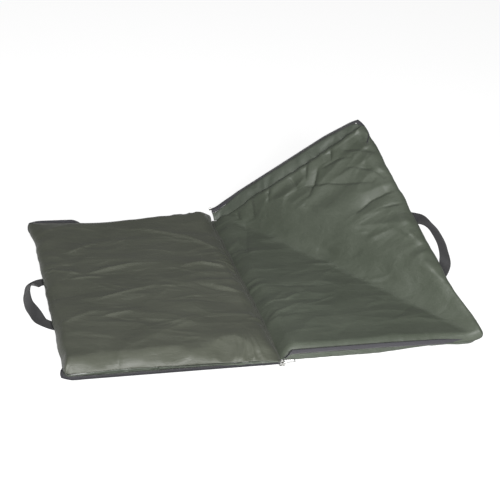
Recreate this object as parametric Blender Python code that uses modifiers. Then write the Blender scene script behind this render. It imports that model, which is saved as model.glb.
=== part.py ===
"""Folding unhooking mat, opened out, with its rear right corner sprung up.

Two padded halves meet at a fold that runs front to back. Each half is a foam pad between a base
cover and a top cover, with a gusset and one side of the zip sewn round its three free edges.
The frame is +X to the right, +Y to the rear and +Z up. Pieces are laid out with X counted from
the fold, and at the end all are moved so that the origin is on the floor under the middle of the
left half. The right half is laid out flat, cut along two lines beside its crease and then bent.
"""

import math

import bmesh
import bpy
from mathutils import Matrix, Vector

MM = 0.001

# Padded halves
PAD_LENGTH = 405 * MM
PAD_DEPTH = 560 * MM
PAD_THICKNESS = 35 * MM
SEAM_HEIGHT = 12 * MM
CORNER_RADIUS = 24 * MM
SIDE_DRAW = 7 * MM
SHOULDER = 34 * MM
COVER_THICKNESS = 0.8 * MM
FOAM_INSET = 15 * MM
FOAM_TOP_ROOM = 1.6 * MM
FOAM_FLOOR_ROOM = 0.8 * MM
SHOULDER_HEIGHT_SHARE = 0.80
FOAM_RIM_SHARE = 1.5

# Fold
FOLD_HALF_GAP = 6 * MM
FOLD_AXIS_ROOM = 3 * MM
FOLD_ROLL = 30 * MM
WEB_SAG = 7 * MM

# Sprung corner
CREASE_FRONT_INSET = 12 * MM
BEND_WIDTH = 85 * MM
CORNER_LIFT_DEG = 52.0

# Gusset and zip
GUSSET_WIDTH = 22 * MM
TAPE_WIDTH = 8 * MM
TAPE_THICKNESS = 0.8 * MM
COIL_DIAMETER = 3 * MM
STOP_LENGTH = 5 * MM
STOP_WALL = 0.9 * MM

# Webbing handles
WEBBING_WIDTH = 25 * MM
WEBBING_THICKNESS = 1.8 * MM
HANDLE_SPAN = 180 * MM
HANDLE_CENTRE_Y = -35 * MM
HANDLE_REACH = 54 * MM
HANDLE_CORNER = 30 * MM
HANDLE_ROOT_INSET = 15 * MM
HANDLE_DROP = 22 * MM
HANDLE_FLAT = 36 * MM
HANDLE_TILT_DEG = 50.0

# Slider and pull
SLIDER_LENGTH = 12 * MM
SLIDER_WIDTH = 10 * MM
SLIDER_WALL = 1.2 * MM
SLIDER_SLOT = 2.4 * MM
COIL_ROOM = 0.7 * MM
EAR_LENGTH = 7 * MM
EAR_WIDTH = 2.4 * MM
EAR_HEIGHT = 4 * MM
PULL_LENGTH = 26 * MM
PULL_WIDTH = 9 * MM
PULL_WIRE = 1.6 * MM
PULL_ROOM = 0.3 * MM

# Gaps between pieces that touch on the real mat
GAP = 0.3 * MM
SEAM_GAP = 0.4 * MM
WEB_GAP = 0.7 * MM

# How the pieces are divided into faces
PAD_COLUMNS = 10
PAD_ROWS = 14
BASE_COLUMNS = 8
BASE_ROWS = 10
FOAM_COLUMNS = 9
FOAM_ROWS = 12
CORNER_STEPS = 6
RUN_STEPS = 12
STRAP_STEPS = 40
SHOULDER_SHARES = (0, 0.08, 0.24)
ROLL_SHARES = (0, 0.08, 0.30, 0.62, 1.00)
BEND_STRIPS = 7

# Attitude of the gusset round each half: share of the path from the front of the fold to the
# rear, then the gusset's reach out, its rise and its ruck as shares of its width, and the lean
# of the tape in degrees
LEFT_GUSSET_SHARES = (
    (0.00, 1.00, -0.28, 0.00, -4),
    (0.26, 1.00, -0.28, 0.00, -4),
    (0.31, 0.50, 0.00, 0.25, -40),
    (0.36, 0.35, 0.05, 0.30, -55),
    (0.64, 0.35, 0.05, 0.30, -55),
    (0.72, 0.50, 0.00, 0.22, -45),
    (1.00, 0.45, 0.00, 0.22, -45),
)
RIGHT_GUSSET_SHARES = (
    (0.00, 0.70, 0.05, 0.15, 30),
    (0.03, 0.30, 0.60, 0.08, 68),
    (0.20, 0.22, 0.68, 0.06, 76),
    (0.27, 0.75, 0.05, 0.12, 5),
    (0.32, 0.97, 0.00, 0.04, -3),
    (0.64, 1.00, 0.05, 0.00, 2),
    (0.76, 0.85, 0.16, 0.04, 12),
    (0.94, 0.80, 0.25, 0.04, 18),
    (1.00, 0.60, 0.60, 0.00, 45),
)

FOLD_AXIS_HEIGHT = PAD_THICKNESS + FOLD_AXIS_ROOM
END_X = FOLD_HALF_GAP + PAD_LENGTH
REAR_Y = PAD_DEPTH / 2
CREASE_REAR = Vector((0, REAR_Y, 0))
CREASE_FRONT = Vector((PAD_LENGTH - CREASE_FRONT_INSET, -REAR_Y, 0))
CREASE_ALONG = (CREASE_FRONT - CREASE_REAR).normalized()
CREASE_ACROSS = Vector((-CREASE_ALONG.y, CREASE_ALONG.x, 0))

LEFT = -1
RIGHT = 1


def clear_scene():
    for item in list(bpy.data.objects):
        bpy.data.objects.remove(item, do_unlink=True)
    for mesh in list(bpy.data.meshes):
        bpy.data.meshes.remove(mesh)


def make_collection(name, hidden=False):
    made = bpy.data.collections.new(name)
    bpy.context.scene.collection.children.link(made)
    made.hide_render = hidden
    return made


def make_material(name, colour, roughness, metallic=0.0):
    made = bpy.data.materials.new(name)
    made.use_nodes = True
    shader = made.node_tree.nodes["Principled BSDF"]
    shader.inputs["Base Color"].default_value = (*colour, 1)
    shader.inputs["Roughness"].default_value = roughness
    shader.inputs["Metallic"].default_value = metallic
    return made


def smooth(share):
    """Ease from 0 to 1 with level ends."""
    share = min(max(share, 0), 1)
    return share * share * (3 - 2 * share)


def stations_between(length, near_marks, far_marks, middle_steps):
    """Distances along a run: marks counted in from each end, and even steps between them."""
    start, stop = near_marks[-1], length - far_marks[-1]
    middle = [start + (stop - start) * step / middle_steps for step in range(1, middle_steps)]
    return list(near_marks) + middle + [length - mark for mark in reversed(far_marks)]


def quarter_round(distance, radius):
    """Height share of a rounded shoulder, at a distance in from its edge."""
    inward = 1 - min(max(distance / radius, 0), 1)
    return math.sqrt(1 - inward * inward)


def draw_in(share):
    """How far a side is pulled in between its corners."""
    return SIDE_DRAW * math.sin(math.pi * min(max(share, 0), 1))


# Plan of one padded half, with X counted away from the fold


def pad_plan(x, y):
    """Where a point of the plain rectangle goes: corners rounded and sides drawn in."""
    over_x = x - (END_X - CORNER_RADIUS)
    over_y = abs(y) - (REAR_Y - CORNER_RADIUS)
    plan_x, plan_y = x, y
    if over_x > 0 and over_y > 0:
        rounding = 1 - max(over_x, over_y) / math.hypot(over_x, over_y)
        plan_x -= over_x * rounding
        plan_y -= math.copysign(over_y * rounding, y)
    end_pull = draw_in((y + REAR_Y) / PAD_DEPTH) * (x - FOLD_HALF_GAP) / PAD_LENGTH
    side_pull = draw_in((x - FOLD_HALF_GAP) / PAD_LENGTH) * y / REAR_Y
    return plan_x - end_pull, plan_y - side_pull


def edge_distances(x, y):
    """Distances in from the fold and from the nearest sewn edge, on the plain rectangle."""
    return x - FOLD_HALF_GAP, min(END_X - x, REAR_Y - abs(y))


def top_height(x, y):
    """Height of the top cover: rounded shoulders, a crown, and a roll down into the fold."""
    fold, edge = edge_distances(x, y)
    long_way = smooth(2 * min(END_X - x, fold) / PAD_LENGTH)
    short_way = smooth(2 * (REAR_Y - abs(y)) / PAD_DEPTH)
    crown = SHOULDER_HEIGHT_SHARE + (1 - SHOULDER_HEIGHT_SHARE) * math.sqrt(long_way * short_way)
    height = SEAM_HEIGHT + (PAD_THICKNESS - SEAM_HEIGHT) * crown * quarter_round(edge, SHOULDER)
    return SEAM_HEIGHT + (height - SEAM_HEIGHT) * quarter_round(fold, FOLD_ROLL)


def base_height(x, y):
    """Height of the base cover's outer face: flat, with its rim sloping up to the seam."""
    fold, edge = edge_distances(x, y)
    rim = SEAM_HEIGHT - 2 * COVER_THICKNESS - GAP
    return rim * (1 - min(edge / CORNER_RADIUS, fold / CORNER_RADIUS, 1))


def foam_floor(x, y):
    return FOAM_RIM_SHARE * base_height(x, y) + COVER_THICKNESS + FOAM_FLOOR_ROOM


def foam_top(x, y):
    return top_height(x, y) - COVER_THICKNESS - FOAM_TOP_ROOM


# Path of the gusset round one half


def path_lengths():
    straight = PAD_LENGTH - CORNER_RADIUS
    quarter = CORNER_RADIUS * math.pi / 2
    end = PAD_DEPTH - 2 * CORNER_RADIUS
    return straight, quarter, end, quarter, straight


def path_point(distance):
    """Point on the plain outline, its outward direction and the draw of its side."""
    straight, quarter, end, _, _ = path_lengths()
    corner_x = END_X - CORNER_RADIUS
    corner_y = REAR_Y - CORNER_RADIUS
    if distance <= straight:
        x, y, turn = FOLD_HALF_GAP + distance, -REAR_Y, -math.pi / 2
    elif distance <= straight + quarter:
        turn = -math.pi / 2 + (distance - straight) / CORNER_RADIUS
        x = corner_x + CORNER_RADIUS * math.cos(turn)
        y = -corner_y + CORNER_RADIUS * math.sin(turn)
    elif distance <= straight + quarter + end:
        x, y, turn = END_X, -corner_y + distance - straight - quarter, 0
    elif distance <= straight + 2 * quarter + end:
        turn = (distance - straight - quarter - end) / CORNER_RADIUS
        x = corner_x + CORNER_RADIUS * math.cos(turn)
        y = corner_y + CORNER_RADIUS * math.sin(turn)
    else:
        x = corner_x - (distance - straight - 2 * quarter - end)
        y, turn = REAR_Y, math.pi / 2
    outward = Vector((math.cos(turn), math.sin(turn), 0))
    pulled = abs(outward.x) * draw_in((y + REAR_Y) / PAD_DEPTH)
    pulled += abs(outward.y) * draw_in((x - FOLD_HALF_GAP) / PAD_LENGTH)
    return Vector((x, y, 0)), outward, pulled


def path_stations():
    """Distances along the path, close together round the corners."""
    stations = [0.0]
    for length, steps in zip(
        path_lengths(), (RUN_STEPS, CORNER_STEPS, RUN_STEPS, CORNER_STEPS, RUN_STEPS)
    ):
        start = stations[-1]
        stations += [start + length * (step + 1) / steps for step in range(steps)]
    return stations


def attitude(shares, share):
    """Reach, rise, ruck and tape lean at a share of the path."""
    for low, high in zip(shares, shares[1:]):
        if share <= high[0]:
            mix = smooth((share - low[0]) / (high[0] - low[0]))
            return [a + (b - a) * mix for a, b in zip(low[1:], high[1:])]
    return shares[-1][1:]


def gusset_section(shares, distance):
    """The seam edge, the zip edge, the ruck and the direction of the tape at one station."""
    point, outward, pulled = path_point(distance)
    reach, rise, ruck, lean = attitude(shares, distance / sum(path_lengths()))
    up = Vector((0, 0, 1))
    seam_level = up * (SEAM_HEIGHT - COVER_THICKNESS)
    inner = point + outward * (SEAM_GAP - pulled) + seam_level
    outer = point + outward * (SEAM_GAP + reach * GUSSET_WIDTH) + seam_level
    outer += up * rise * GUSSET_WIDTH
    tape_way = outward * math.cos(math.radians(lean)) + up * math.sin(math.radians(lean))
    return inner, outer, ruck * GUSSET_WIDTH, tape_way


# Bend of the right half


def crease_distance(point):
    """How far a point of the flat half lies past the crease."""
    return (point - CREASE_REAR).dot(CREASE_ACROSS)


def turned(point, share):
    """A point turned about the crease by a share of the full lift."""
    turn = Matrix.Rotation(math.radians(CORNER_LIFT_DEG) * share, 3, CREASE_ALONG)
    return CREASE_REAR + turn @ (point - CREASE_REAR)


def bent(point):
    """The bend as flat strips side by side, so that layers over one another keep their gaps."""
    across = crease_distance(point)
    if across <= 0 or across >= BEND_WIDTH:
        return turned(point, smooth(across / BEND_WIDTH))
    step = BEND_WIDTH / BEND_STRIPS
    strip = min(int(across / step), BEND_STRIPS - 1)
    near, far = [
        turned(point + CREASE_ACROSS * (line * step - across), smooth(line / BEND_STRIPS))
        for line in (strip, strip + 1)
    ]
    return near.lerp(far, across / step - strip)


ZONES = {
    "": (None, 0),
    "_bend": (0, BEND_WIDTH),
    "_corner": (BEND_WIDTH, None),
}


def cut_to_zone(cage, zone):
    """Keep what lies between the zone's two lines, less half a seam gap at each."""
    low, high = ZONES[zone]
    for limit, side in ((low, -1), (high, 1)):
        if limit is None:
            continue
        place = CREASE_REAR + CREASE_ACROSS * (limit - side * SEAM_GAP / 2)
        bmesh.ops.bisect_plane(
            cage,
            geom=cage.verts[:] + cage.edges[:] + cage.faces[:],
            dist=GAP / 10,
            plane_co=place,
            plane_no=CREASE_ACROSS * side,
            clear_outer=True,
        )
    if zone == "_bend":
        for strip in range(1, BEND_STRIPS):
            bmesh.ops.bisect_plane(
                cage,
                geom=cage.verts[:] + cage.edges[:] + cage.faces[:],
                dist=GAP / 10,
                plane_co=CREASE_REAR + CREASE_ACROSS * (BEND_WIDTH * strip / BEND_STRIPS),
                plane_no=CREASE_ACROSS,
            )


def split_islands(cage):
    """The loose pieces of a cage, each a set of faces, from front to rear."""
    left = set(cage.faces)
    islands = []
    while left:
        todo = [left.pop()]
        island = set(todo)
        while todo:
            for edge in todo.pop().edges:
                for face in edge.link_faces:
                    if face in left:
                        left.discard(face)
                        island.add(face)
                        todo.append(face)
        islands.append(island)

    def depth(island):
        return sum(face.calc_center_median().y for face in island) / len(island)

    return sorted(islands, key=depth)


# Objects


def link_object(name, data, material, collection):
    made = bpy.data.objects.new(name, data)
    collection.objects.link(made)
    made.data.materials.append(material)
    return made


def finish_cage(name, cage, material, collection, origin=None):
    mesh = bpy.data.meshes.new(name)
    if origin is not None:
        bmesh.ops.translate(cage, verts=cage.verts[:], vec=-origin)
    cage.to_mesh(mesh)
    cage.free()
    made = link_object(name, mesh, material, collection)
    if origin is not None:
        made.location = origin
    mesh.shade_smooth()
    mesh.set_sharp_from_angle(angle=math.radians(40))
    return made


def thicken(item, thickness, offset):
    """Solidify: offset -1 grows under the surface, 1 above it and 0 both ways."""
    wall = item.modifiers.new("Wall", "SOLIDIFY")
    wall.thickness = thickness
    wall.offset = offset
    wall.use_even_offset = True


def grid_cage(columns, rows, place, side, floor=None):
    """A grid whose shares across and along are sent to their places."""
    cage = bmesh.new()
    bmesh.ops.create_grid(cage, x_segments=columns, y_segments=rows, size=0.5)
    underside = cage.verts.layers.float.new("underside") if floor else None
    for vert in cage.verts:
        if floor:
            vert[underside] = floor(vert.co.x + 0.5, vert.co.y + 0.5)
        spot = place(vert.co.x + 0.5, vert.co.y + 0.5)
        vert.co = Vector((spot.x * side, spot.y, spot.z))
    if side == LEFT:
        bmesh.ops.reverse_faces(cage, faces=cage.faces[:])
    return cage


def pad_surface(columns, rows, height, underside=None):
    """A sheet over one half, with lines at the distances given and its heights from a rule."""

    def flat(across, along):
        x = FOLD_HALF_GAP + columns[round(across * (len(columns) - 1))]
        return x, rows[round(along * (len(rows) - 1))] - REAR_Y

    def place(across, along):
        x, y = flat(across, along)
        return Vector((*pad_plan(x, y), height(x, y)))

    def floor(across, along):
        return underside(*flat(across, along))

    floor = floor if underside else None
    return lambda side: grid_cage(len(columns) - 1, len(rows) - 1, place, side, floor)


def strip_surface(shares, section):
    """Place function of a strip along the gusset's path, one station a column."""
    stations = path_stations()

    def place(run, width):
        station = stations[round(run * (len(stations) - 1))]
        return section(gusset_section(shares, station), width)

    return lambda rows: lambda side: grid_cage(len(stations) - 1, rows, place, side)


def close_down(cage):
    """Close a sheet into a solid, with its underside at the heights that its points carry."""
    underside = cage.verts.layers.float["underside"]
    made = bmesh.ops.extrude_face_region(cage, geom=cage.faces[:], use_keep_orig=True)
    for vert in [item for item in made["geom"] if isinstance(item, bmesh.types.BMVert)]:
        vert.co.z = vert[underside]
    bmesh.ops.recalc_face_normals(cage, faces=cage.faces[:])


def add_left(name, surface, material, collection, wall=None):
    cage = surface(LEFT)
    if not wall:
        close_down(cage)
    made = finish_cage("left_" + name, cage, material, collection)
    if wall:
        thicken(made, *wall)


def add_right(name, surface, material, collection, wall=None, island_names=None):
    """The right half's piece in its lengths: in front of the crease, in the bend and past it."""
    for zone in ZONES:
        for number, label in enumerate((island_names or {}).get(zone, ("",))):
            cage = surface(RIGHT)
            cut_to_zone(cage, zone)
            keep = split_islands(cage)[number]
            drop = [face for face in cage.faces if face not in keep]
            bmesh.ops.delete(cage, geom=drop, context="FACES")
            if not wall:
                close_down(cage)
            for vert in cage.verts:
                vert.co = bent(vert.co)
            made = finish_cage("right_" + name + label + zone, cage, material, collection)
            if wall:
                thicken(made, *wall)


def add_pads(collection, looks):
    foam_rim = [FOAM_INSET, CORNER_RADIUS, SHOULDER]
    shoulder = [SHOULDER * share for share in SHOULDER_SHARES] + foam_rim
    roll = [FOLD_ROLL * share for share in ROLL_SHARES]
    curl = (0, FOAM_INSET, CORNER_RADIUS)
    top = pad_surface(
        stations_between(PAD_LENGTH, roll, shoulder, PAD_COLUMNS),
        stations_between(PAD_DEPTH, shoulder, shoulder, PAD_ROWS),
        top_height,
    )
    base = pad_surface(
        stations_between(PAD_LENGTH, curl, curl, BASE_COLUMNS),
        stations_between(PAD_DEPTH, curl, curl, BASE_ROWS),
        base_height,
    )
    foam = pad_surface(
        stations_between(PAD_LENGTH, foam_rim, foam_rim, FOAM_COLUMNS),
        stations_between(PAD_DEPTH, foam_rim, foam_rim, FOAM_ROWS),
        foam_top,
        foam_floor,
    )
    for add in (add_left, add_right):
        add("top_cover", top, looks["cover"], collection, wall=(COVER_THICKNESS, -1))
        add("base_cover", base, looks["base"], collection, wall=(COVER_THICKNESS, 1))
        add("foam_pad", foam, looks["foam"], collection)


def gusset_spot(section, width):
    inner, outer, ruck, _ = section
    return inner.lerp(outer, width) + Vector((0, 0, ruck * math.sin(math.pi * width)))


def tape_spot(section, width):
    _, outer, _, way = section
    return outer + way * (SEAM_GAP + TAPE_WIDTH * width)


def coil_centre(section):
    _, outer, _, way = section
    return outer + way * (2 * SEAM_GAP + TAPE_WIDTH + COIL_DIAMETER / 2)


STRIP_NAMES = {"": ("",), "_bend": ("_end", "_rear"), "_corner": ("",)}


def add_gussets(collection, looks):
    for shares, add, names in (
        (LEFT_GUSSET_SHARES, add_left, {}),
        (RIGHT_GUSSET_SHARES, add_right, {"island_names": STRIP_NAMES}),
    ):
        gusset = strip_surface(shares, gusset_spot)(3)
        tape = strip_surface(shares, tape_spot)(1)
        add("gusset", gusset, looks["gusset"], collection, wall=(COVER_THICKNESS, 0), **names)
        add("zip_tape", tape, looks["tape"], collection, wall=(TAPE_THICKNESS, 0), **names)


def add_tube(name, points, diameter, material, collection):
    curve = bpy.data.curves.new(name, "CURVE")
    curve.dimensions = "3D"
    curve.bevel_depth = diameter / 2
    curve.bevel_resolution = 1
    curve.use_fill_caps = True
    spline = curve.splines.new("POLY")
    spline.points.add(len(points) - 1)
    for spot, point in zip(spline.points, points):
        spot.co = (*point, 1)
    return link_object(name, curve, material, collection)


def coil_lengths(points):
    """Divide the right coil's points at the lines of the bend, in path order."""
    names = ("zip_coil", "zip_coil_end_bend", "zip_coil_corner", "zip_coil_rear_bend")
    lines = [BEND_WIDTH * strip / BEND_STRIPS for strip in range(BEND_STRIPS + 1)]
    runs = [[points[0]]]
    for start, stop in zip(points, points[1:]):
        here, there = crease_distance(start), crease_distance(stop)
        crossed = [line for line in lines if min(here, there) < line <= max(here, there)]
        for line in sorted(crossed, reverse=there < here):
            cut = start.lerp(stop, (line - here) / (there - here))
            if line in (lines[0], lines[-1]):
                step = (stop - start).normalized() * SEAM_GAP / 2
                runs[-1].append(cut - step)
                runs.append([cut + step])
            else:
                runs[-1].append(cut)
        if (stop - runs[-1][-1]).dot(stop - start) > 0:
            runs[-1].append(stop)
    return dict(zip(names, runs))


def add_coils(collection, looks):
    for side, shares in ((LEFT, LEFT_GUSSET_SHARES), (RIGHT, RIGHT_GUSSET_SHARES)):
        centres = [coil_centre(gusset_section(shares, station)) for station in path_stations()]
        if side == LEFT:
            points = [Vector((-spot.x, spot.y, spot.z)) for spot in centres]
            add_tube("left_zip_coil", points, COIL_DIAMETER, looks["coil"], collection)
        else:
            for name, points in coil_lengths(centres).items():
                run = [bent(point) for point in points]
                add_tube("right_" + name, run, COIL_DIAMETER, looks["coil"], collection)


def add_fold_web(collection, looks):
    """Strip of fabric that joins the halves, sagging between their seams."""
    level = SEAM_HEIGHT - COVER_THICKNESS

    def place(across, along):
        x = (2 * across - 1) * (FOLD_HALF_GAP - WEB_GAP)
        z = level - WEB_SAG * math.sin(math.pi * across)
        return Vector((x, (2 * along - 1) * (REAR_Y - GAP), z))

    cage = grid_cage(6, 16, place, RIGHT)
    made = finish_cage("fold_web", cage, looks["gusset"], collection)
    thicken(made, COVER_THICKNESS, 0)


# Handles


def handle_route(step_share):
    """Centre of the strap in plan, from its front root round to its rear root, and its heading."""
    half_span = HANDLE_SPAN / 2
    straight = HANDLE_ROOT_INSET + HANDLE_REACH - HANDLE_CORNER
    quarter = HANDLE_CORNER * math.pi / 2
    middle = 2 * (half_span - HANDLE_CORNER)
    distance = step_share * (2 * straight + 2 * quarter + middle)
    root_x = END_X - HANDLE_ROOT_INSET
    corner_x = root_x + straight
    mirrored = distance > straight + quarter + middle / 2
    if mirrored:
        distance = 2 * straight + 2 * quarter + middle - distance
    if distance <= straight:
        x, y, turn = root_x + distance, -half_span, 0
    elif distance <= straight + quarter:
        turn = (distance - straight) / HANDLE_CORNER
        x = corner_x + HANDLE_CORNER * math.sin(turn)
        y = -half_span + HANDLE_CORNER * (1 - math.cos(turn))
    else:
        x, turn = corner_x + HANDLE_CORNER, math.pi / 2
        y = -half_span + HANDLE_CORNER + distance - straight - quarter
    out = Vector((math.sin(turn), -math.cos(turn), 0))
    if mirrored:
        y, out.y = -y, -out.y
    return Vector((x, y + HANDLE_CENTRE_Y, 0)), out


def root_height():
    """Height of a strap's roots, sewn just under the sloping rim of the base cover."""
    foremost = HANDLE_CENTRE_Y - (HANDLE_SPAN + WEBBING_WIDTH) / 2
    rim_x = END_X - HANDLE_ROOT_INSET + draw_in((foremost + REAR_Y) / PAD_DEPTH)
    return base_height(rim_x, 0) - SEAM_GAP - WEBBING_THICKNESS / 2


def handle_spot(step_share, width):
    """Point of the strap: down from its roots, flat under the zip, then leaning up at mid loop."""
    centre, out = handle_route(step_share)
    leaning = smooth((centre.x - END_X - HANDLE_FLAT) / (HANDLE_REACH - HANDLE_FLAT))
    tilt = math.radians(HANDLE_TILT_DEG) * leaning
    half = WEBBING_WIDTH / 2
    flat_level = GAP + WEBBING_THICKNESS / 2
    dropped = smooth((centre.x - END_X + HANDLE_ROOT_INSET) / HANDLE_DROP)
    centre.z = root_height() + (flat_level - root_height()) * dropped + half * math.sin(tilt)
    way = out * -math.cos(tilt) + Vector((0, 0, math.sin(tilt)))
    return centre + way * (2 * width - 1) * half


def handle_pivot(side):
    """Point on the line that a handle swings about, at the roots of its webbing."""
    x = END_X - HANDLE_ROOT_INSET
    return Vector((side * x, HANDLE_CENTRE_Y, root_height()))


def add_handle(name, side, collection, looks):
    cage = grid_cage(STRAP_STEPS, 2, handle_spot, side)
    pivot = handle_pivot(side)
    if side == RIGHT:
        for vert in cage.verts:
            vert.co = turned(vert.co, 1)
        pivot = turned(pivot, 1)
    made = finish_cage(name, cage, looks["webbing"], collection, origin=pivot)
    thicken(made, WEBBING_THICKNESS, 0)


# Zip slider, pull and stops


def slider_centre():
    spot = coil_centre(gusset_section(LEFT_GUSSET_SHARES, 0))
    return Vector((0, spot.y, spot.z))


def box_cage(sizes, centre):
    cage = bmesh.new()
    bmesh.ops.create_cube(cage, size=1)
    for vert in cage.verts:
        vert.co = Vector([c * s for c, s in zip(vert.co, sizes)]) + Vector(centre)
    return cage


def add_box(name, sizes, centre, material, collection, origin=None):
    return finish_cage(name, box_cage(sizes, centre), material, collection, origin)


def combine(item, other, operation):
    cut = item.modifiers.new(other.name, "BOOLEAN")
    cut.object = other
    cut.operation = operation
    cut.solver = "EXACT"


def as_cutter(item):
    item.display_type = "WIRE"
    item.hide_render = True


def slider_height():
    return COIL_DIAMETER + 2 * COIL_ROOM + 2 * SLIDER_WALL


def add_slider(collection, cutters, looks):
    """Two wings joined at the near side of the nose, with ways for coil and tapes and an ear on top."""
    centre = slider_centre()
    height = slider_height()
    body = add_box(
        "zip_slider", (SLIDER_LENGTH, SLIDER_WIDTH, height), centre, looks["metal"], collection, centre
    )
    rim = body.modifiers.new("Soft edges", "BEVEL")
    rim.width = SLIDER_WALL / 2
    rim.segments = 2
    rim.limit_method = "ANGLE"
    channel = COIL_DIAMETER + 2 * COIL_ROOM
    through = SLIDER_LENGTH + 2 * GAP
    nose = SLIDER_LENGTH / 4
    bore = add_box("slider_channel", (through, channel, channel), centre, looks["metal"], cutters)
    near_slot = add_box(
        "slider_near_slot",
        (SLIDER_LENGTH, SLIDER_WIDTH, SLIDER_SLOT),
        centre - Vector((nose, SLIDER_WIDTH / 2, 0)),
        looks["metal"],
        cutters,
    )
    far_slot = add_box(
        "slider_far_slot",
        (through, SLIDER_WIDTH, SLIDER_SLOT),
        centre + Vector((0, SLIDER_WIDTH / 2, 0)),
        looks["metal"],
        cutters,
    )
    ear_base = centre + Vector((0, 0, height / 2))
    ear = add_box(
        "slider_ear",
        (EAR_LENGTH, EAR_WIDTH, EAR_HEIGHT + SLIDER_WALL / 2),
        ear_base + Vector((0, 0, EAR_HEIGHT / 2 - SLIDER_WALL / 4)),
        looks["metal"],
        cutters,
    )
    window = add_box(
        "ear_window",
        (EAR_LENGTH - 2 * SLIDER_WALL, EAR_WIDTH + 2 * SLIDER_WALL, EAR_HEIGHT - SLIDER_WALL),
        ear_base + Vector((0, 0, (EAR_HEIGHT - SLIDER_WALL) / 2)),
        looks["metal"],
        cutters,
    )
    for cutter in (bore, near_slot, far_slot, ear, window):
        as_cutter(cutter)
    for cutter in (bore, near_slot, far_slot):
        combine(body, cutter, "DIFFERENCE")
    combine(body, ear, "UNION")
    combine(body, window, "DIFFERENCE")


def pull_pivot():
    """Centre of the wire where the pull hangs in the slider's ear."""
    inside_end = (EAR_LENGTH - 2 * SLIDER_WALL) / 2 - PULL_WIRE / 2 - PULL_ROOM
    window_top = slider_height() / 2 + EAR_HEIGHT - SLIDER_WALL
    return slider_centre() + Vector((inside_end, 0, window_top - PULL_WIRE / 2 - PULL_ROOM))


def add_pull(collection, looks):
    """Wire loop with round corners, closed on itself, lying to the right of the slider."""
    pivot = pull_pivot()
    radius = PULL_WIDTH / 4
    length = PULL_LENGTH - PULL_WIRE
    points = []
    for corner_x, corner_y, first in (
        (length - radius, PULL_WIDTH / 2 - radius, 0),
        (radius, PULL_WIDTH / 2 - radius, 1),
        (radius, -PULL_WIDTH / 2 + radius, 2),
        (length - radius, -PULL_WIDTH / 2 + radius, 3),
    ):
        for step in range(4):
            turn = (first + step / 3) * math.pi / 2
            points.append((corner_x + radius * math.cos(turn), corner_y + radius * math.sin(turn), 0))
    loop = add_tube("zip_pull", points, PULL_WIRE, looks["metal"], collection)
    loop.data.use_fill_caps = False
    loop.data.splines[0].use_cyclic_u = True
    loop.location = pivot


def add_stops(collection, looks):
    """Crimped sleeves on the rear ends of the coils, just off the end of each tube."""
    total = sum(path_lengths())
    for side, shares, name in (
        (LEFT, LEFT_GUSSET_SHARES, "left_zip_stop"),
        (RIGHT, RIGHT_GUSSET_SHARES, "right_zip_stop"),
    ):
        end = coil_centre(gusset_section(shares, total))
        before = coil_centre(gusset_section(shares, total - STOP_WALL))
        if side == RIGHT:
            end, before = bent(end), bent(before)
        else:
            end.x, before.x = -end.x, -before.x
        way = (end - before).normalized()
        centre = end + way * (SEAM_GAP + STOP_LENGTH / 2)
        width = COIL_DIAMETER + 2 * STOP_WALL
        stop = add_box(name, (STOP_LENGTH, width, width), (0, 0, 0), looks["metal"], collection)
        stop.location = centre
        stop.rotation_euler = way.to_track_quat("X", "Z").to_euler()
        rim = stop.modifiers.new("Soft edges", "BEVEL")
        rim.width = STOP_WALL / 2
        rim.segments = 2


# Axes


def carry(name, place, carried, collection):
    """An empty on a joint's axis, which carries the pieces that turn about it."""
    axis = bpy.data.objects.new(name, None)
    collection.objects.link(axis)
    axis.location = place
    for item in carried:
        item.parent = axis
        item.matrix_parent_inverse = Matrix.Translation(-place)
    return axis


def add_axes(collection):
    items = list(collection.objects)
    lifted = [item for item in items if item.name.endswith("_corner") or item.name == "right_handle"]
    folded = [item for item in items if item.name.startswith("right_") and item not in lifted]
    corner_axis = carry("corner_axis", CREASE_REAR, lifted, collection)
    carry("fold_axis", Vector((0, 0, FOLD_AXIS_HEIGHT)), [*folded, corner_axis], collection)


def move_origin(*collections):
    """Bring the middle of the left half's underside to the origin."""
    for collection in collections:
        for item in collection.objects:
            if not item.parent:
                item.location.x += FOLD_HALF_GAP + PAD_LENGTH / 2


def main():
    clear_scene()
    parts = make_collection("unhooking_mat")
    cutters = make_collection("cutters", hidden=True)
    looks = {
        "cover": make_material("coated_nylon", (0.085, 0.092, 0.068), 0.45),
        "base": make_material("base_nylon", (0.070, 0.076, 0.058), 0.55),
        "gusset": make_material("gusset_nylon", (0.110, 0.118, 0.085), 0.45),
        "foam": make_material("foam", (0.45, 0.45, 0.42), 0.9),
        "tape": make_material("zip_tape", (0.065, 0.065, 0.072), 0.8),
        "coil": make_material("zip_coil", (0.045, 0.045, 0.050), 0.4),
        "webbing": make_material("webbing", (0.065, 0.065, 0.065), 0.85),
        "metal": make_material("nickel", (0.62, 0.62, 0.60), 0.3, 1.0),
    }
    add_pads(parts, looks)
    add_gussets(parts, looks)
    add_coils(parts, looks)
    add_fold_web(parts, looks)
    add_handle("left_handle", LEFT, parts, looks)
    add_handle("right_handle", RIGHT, parts, looks)
    add_slider(parts, cutters, looks)
    add_pull(parts, looks)
    add_stops(parts, looks)
    add_axes(parts)
    move_origin(parts, cutters)


main()
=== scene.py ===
"""Folding unhooking mat in coated nylon, opened out, with its rear right corner sprung up.

Metres, with +X to the right, +Y to the rear and +Z up. Pieces are laid out flat with X counted
from the fold, the left ones are mirrored, the right ones are sprung up about the crease, and then
all are moved into the frame, whose origin is on the floor under the middle of the left half.
"""

import math

import bpy
import numpy as np
from mathutils import Matrix, Vector, noise


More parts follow.
